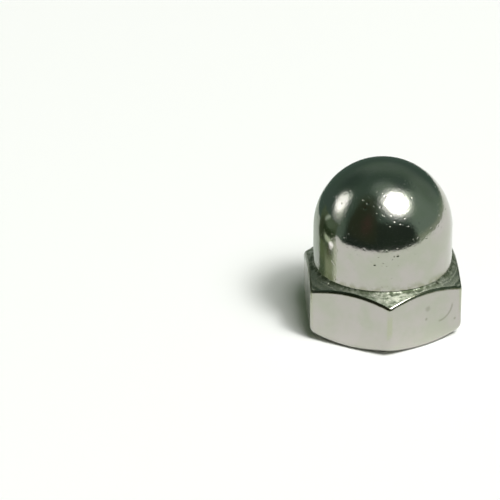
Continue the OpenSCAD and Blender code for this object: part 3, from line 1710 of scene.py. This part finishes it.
ROOM = DarkRoom(
    shades=(
        # A paler ceiling that comes down behind, and a paler wall at the right with a lighter foot
        Shade("#7B8D81", azimuth=0, level=90, half_width=400, half_height=16, softness=0.5, squareness=2),
        Shade("#64766A", azimuth=178, level=38, half_width=38, half_height=16, softness=0.6, squareness=2),
        Shade("#7F9383", azimuth=92, level=12, half_width=42, half_height=34, softness=0.3),
        Shade("#6C7E70", azimuth=126, level=28, half_width=20, half_height=18, softness=0.7, squareness=2),
        Shade("#A2AE98", azimuth=95, level=-7, half_width=45, half_height=8, softness=0.5),
        # Darker in the far corner at the left
        Shade("#41534A", azimuth=-130, level=38, half_width=22, half_height=15, softness=0.7, squareness=2),
        Shade("#66796B", azimuth=-76, level=2, half_width=14, half_height=15, softness=0.5),
        # Stray light beside the lamp and the window
        Shade("#DEE4DC", azimuth=-91, level=19, half_width=11, half_height=10, softness=0.7, squareness=2),
        Shade("#C8D4CA", azimuth=-98, level=41, half_width=8, half_height=4, softness=0.8, squareness=2),
        Shade("#A9B5AB", azimuth=-8, level=66, half_width=13, half_height=9, softness=0.8, squareness=2),
        Shade("#93A597", azimuth=88, level=52, half_width=16, half_height=9, softness=0.8, squareness=2),
    ),
    figure=(
        # Its body, its left shoulder and a faint brown patch on it
        Shade("#2D382F", azimuth=-3.5, level=-2, half_width=61, half_height=33, softness=0.09, lean=0.1),
        Shade("#46523F", azimuth=-44, level=56, half_width=30, half_height=13, softness=0.6, squareness=2),
        Shade("#363E2E", azimuth=-37, level=26, half_width=27, half_height=29, softness=0.2, lean=0.2),
        Shade("#4A3F36", azimuth=-29, level=25, half_width=9, half_height=14, softness=0.8, squareness=2),
    ),
    edge=(
        (-180, 50), (-150, 42), (-112, 40), (-90, 80), (-75, 60), (-60, 42), (-18, 38), (3, 38), (27, 43),
        (53, 58), (80, 100), (100, 130), (120, 160), (143, 160), (165, 80),
    ),
)

# Two cards at the nut's left, which it mirrors as a dark streak with a pale rim
CARDS = (
    Card("pale_card", start=-150, end=-107.5, height=9, colour="#CBD4CB"),
    Card(
        "dark_card", start=-107.5, end=-66, height=13, colour="#5C6C53",
        shades=(
            Shade("#454F3A", azimuth=-98, level=7.5, half_width=7, half_height=3.4),
            Shade("#34432A", azimuth=-82, level=9.0, half_width=13, half_height=1.5, lean=-0.03),
            Shade("#65785F", azimuth=-80, level=11.2, half_width=8, half_height=1.3, softness=0.5),
            # A painted highlight along its top edge
            Shade("#C0D0BC", azimuth=-89, level=12.2, half_width=4, half_height=0.7, softness=0.5, lean=-0.2),
            Shade("#6E7D5A", azimuth=-99, level=3.4, half_width=9, half_height=1.2, softness=0.5),
            Shade("#9DAA88", azimuth=-81, level=2.3, half_width=9, half_height=1.4, softness=0.5),
            Shade("#8D9C7C", azimuth=-80, level=0.3, half_width=12, half_height=0.8, softness=0.5),
            Shade("#E6EED8", azimuth=-62, level=3, half_width=10, half_height=4.6, softness=0.4),
            Shade("#50563A", azimuth=-81, level=4.1, half_width=5, half_height=0.7, softness=0.4, lean=-0.04),
            # A painted glint, pale and leaf-shaped
            Shade("#D8E8C8", azimuth=-81, level=6.3, half_width=8, half_height=1.0, softness=0.4, lean=0.06),
            # A small white glint
            Shade(
                "#FFFFFF", azimuth=-76, level=5.4, half_width=3.5, half_height=0.8, softness=0.4,
                squareness=2, strength=2.2,
            ),
        ),
    ),
)

# Marks from handling, on the crown and on the flats
CROWN_MARKS = (
    Dent((-4.37, -4.88, 8.96), 0.16, 0.025),
    Dent((-2.56, -6.03, 9.89), 0.18, 0.03),
    Dent((-2.86, -5.89, 9.84), 0.11, 0.02),
    Dent((-4.16, -2.91, 13.9), 0.2, 0.02),
    Dent((-3.77, -2.84, 14.29), 0.17, 0.02),
    Dent((-3.47, -3.92, 13.68), 0.09, 0.009),
    Dent((-3.12, -4.31, 13.57), 0.08, 0.009),
    Dent((-2.36, -5.15, 13.03), 0.11, 0.011),
    Dent((-1.94, -5.46, 12.8), 0.1, 0.011),
    Dent((-2.84, -5.13, 12.66), 0.1, 0.012),
    Dent((-1.39, -5.39, 13.2), 0.1, 0.01),
    Dent((-1.25, -5.8, 12.52), 0.08, 0.01),
)
SHOULDER_MARKS = (
    Dent((1.72, -6.45, 5.99), 0.26, 0.02),
    Dent((-8.02, -0.18, 5.21), 0.15, 0.06, dirt=0.0),
    Dent((-6.72, -0.98, 5.93), 0.24, 0.1, dirt=0.0),
)
FLAT_MARKS = (
    Dent((0.2, -7.145, 3.95), 0.42, 0.014, dirt=0.85),
    Dent((0.05, -7.145, 2.9), 0.22, 0.012),
    Dent((3.36, -7.145, 2.05), 0.2, 0.012),
    Dent((-5.6, -4.93, 2.3), 0.2, 0.01),
    Scratch((1.44, -7.145, 3.9), 1.62, (2.5, -7.145, 2.75), 1.25, 0.19, 0.01),
)
FINISHES = {
    Zone.CROWN: PolishedCrown(marks=CROWN_MARKS),
    Zone.SHOULDER: TurnedShoulder(marks=SHOULDER_MARKS),
    Zone.BAR: DrawnBar(marks=FLAT_MARKS),
    Zone.FACE: FacedBearing(),
    Zone.BORE: TappedBore(),
    # The edge's darker colour is a painted dark reflection
    Zone.EDGE: TumbledEdge(),
}


def corners(box: Sequence[Sequence[float]]) -> list[list[float]]:
    """Return a box's lowest and highest corners as plain lists."""
    return [list(corner) for corner in box]


def build_nut(record: Mapping[str, Any]) -> CapNut:
    """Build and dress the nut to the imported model's size, in its place.

    Args:
        record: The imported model's record.

    Returns:
        The nut.
    """
    low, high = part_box("cap_nut")
    mount = next(m for m in record["mounts"] if m["name"] == "thread")
    wall_length = mount["dims"]["length_mm"]
    middle = mount["pos_m"][2] / MM
    hexagon = Hexagon(across_flats=(high[1] - low[1]) / MM)
    outside = Outside(hexagon, height=(high[2] - low[2]) / MM)
    thread = Thread(bore_r=mount["dims"]["r_mm"], bore_end_z=middle + wall_length / 2)
    nut = CapNut(outside, thread, FINISHES)
    piece = nut.build()
    nut.dress(piece)
    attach(piece, "root")
    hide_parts("cap_nut")
    triangles = sum(len(face.vertices) - 2 for face in piece.data.polygons)
    log.info("%s: %d triangles", piece.name, triangles)
    return nut


def main() -> None:
    """Build the nut and its set in order, and log the nut's triangle count and each lamp and piece that is
    built.
    """
    logging.basicConfig(level=logging.INFO, format="%(name)s: %(message)s")
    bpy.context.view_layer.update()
    nut = build_nut(frame["record"])

    view = View()
    view.build()
    facing = view.seen_from_nut
    for lamp in LAMPS:
        lamp.build(facing, nut.outside.dome_z)
        log.info("%s: built", lamp.name)
    staged = [Floor().build(), ROOM.build(facing, GLARES), *(card.build(facing) for card in CARDS)]
    for piece in staged:
        log.info("%s: built", piece.name)
    Background().build()
    bpy.context.scene.view_settings.view_transform = "Standard"


if __name__ == "__main__":
    main()
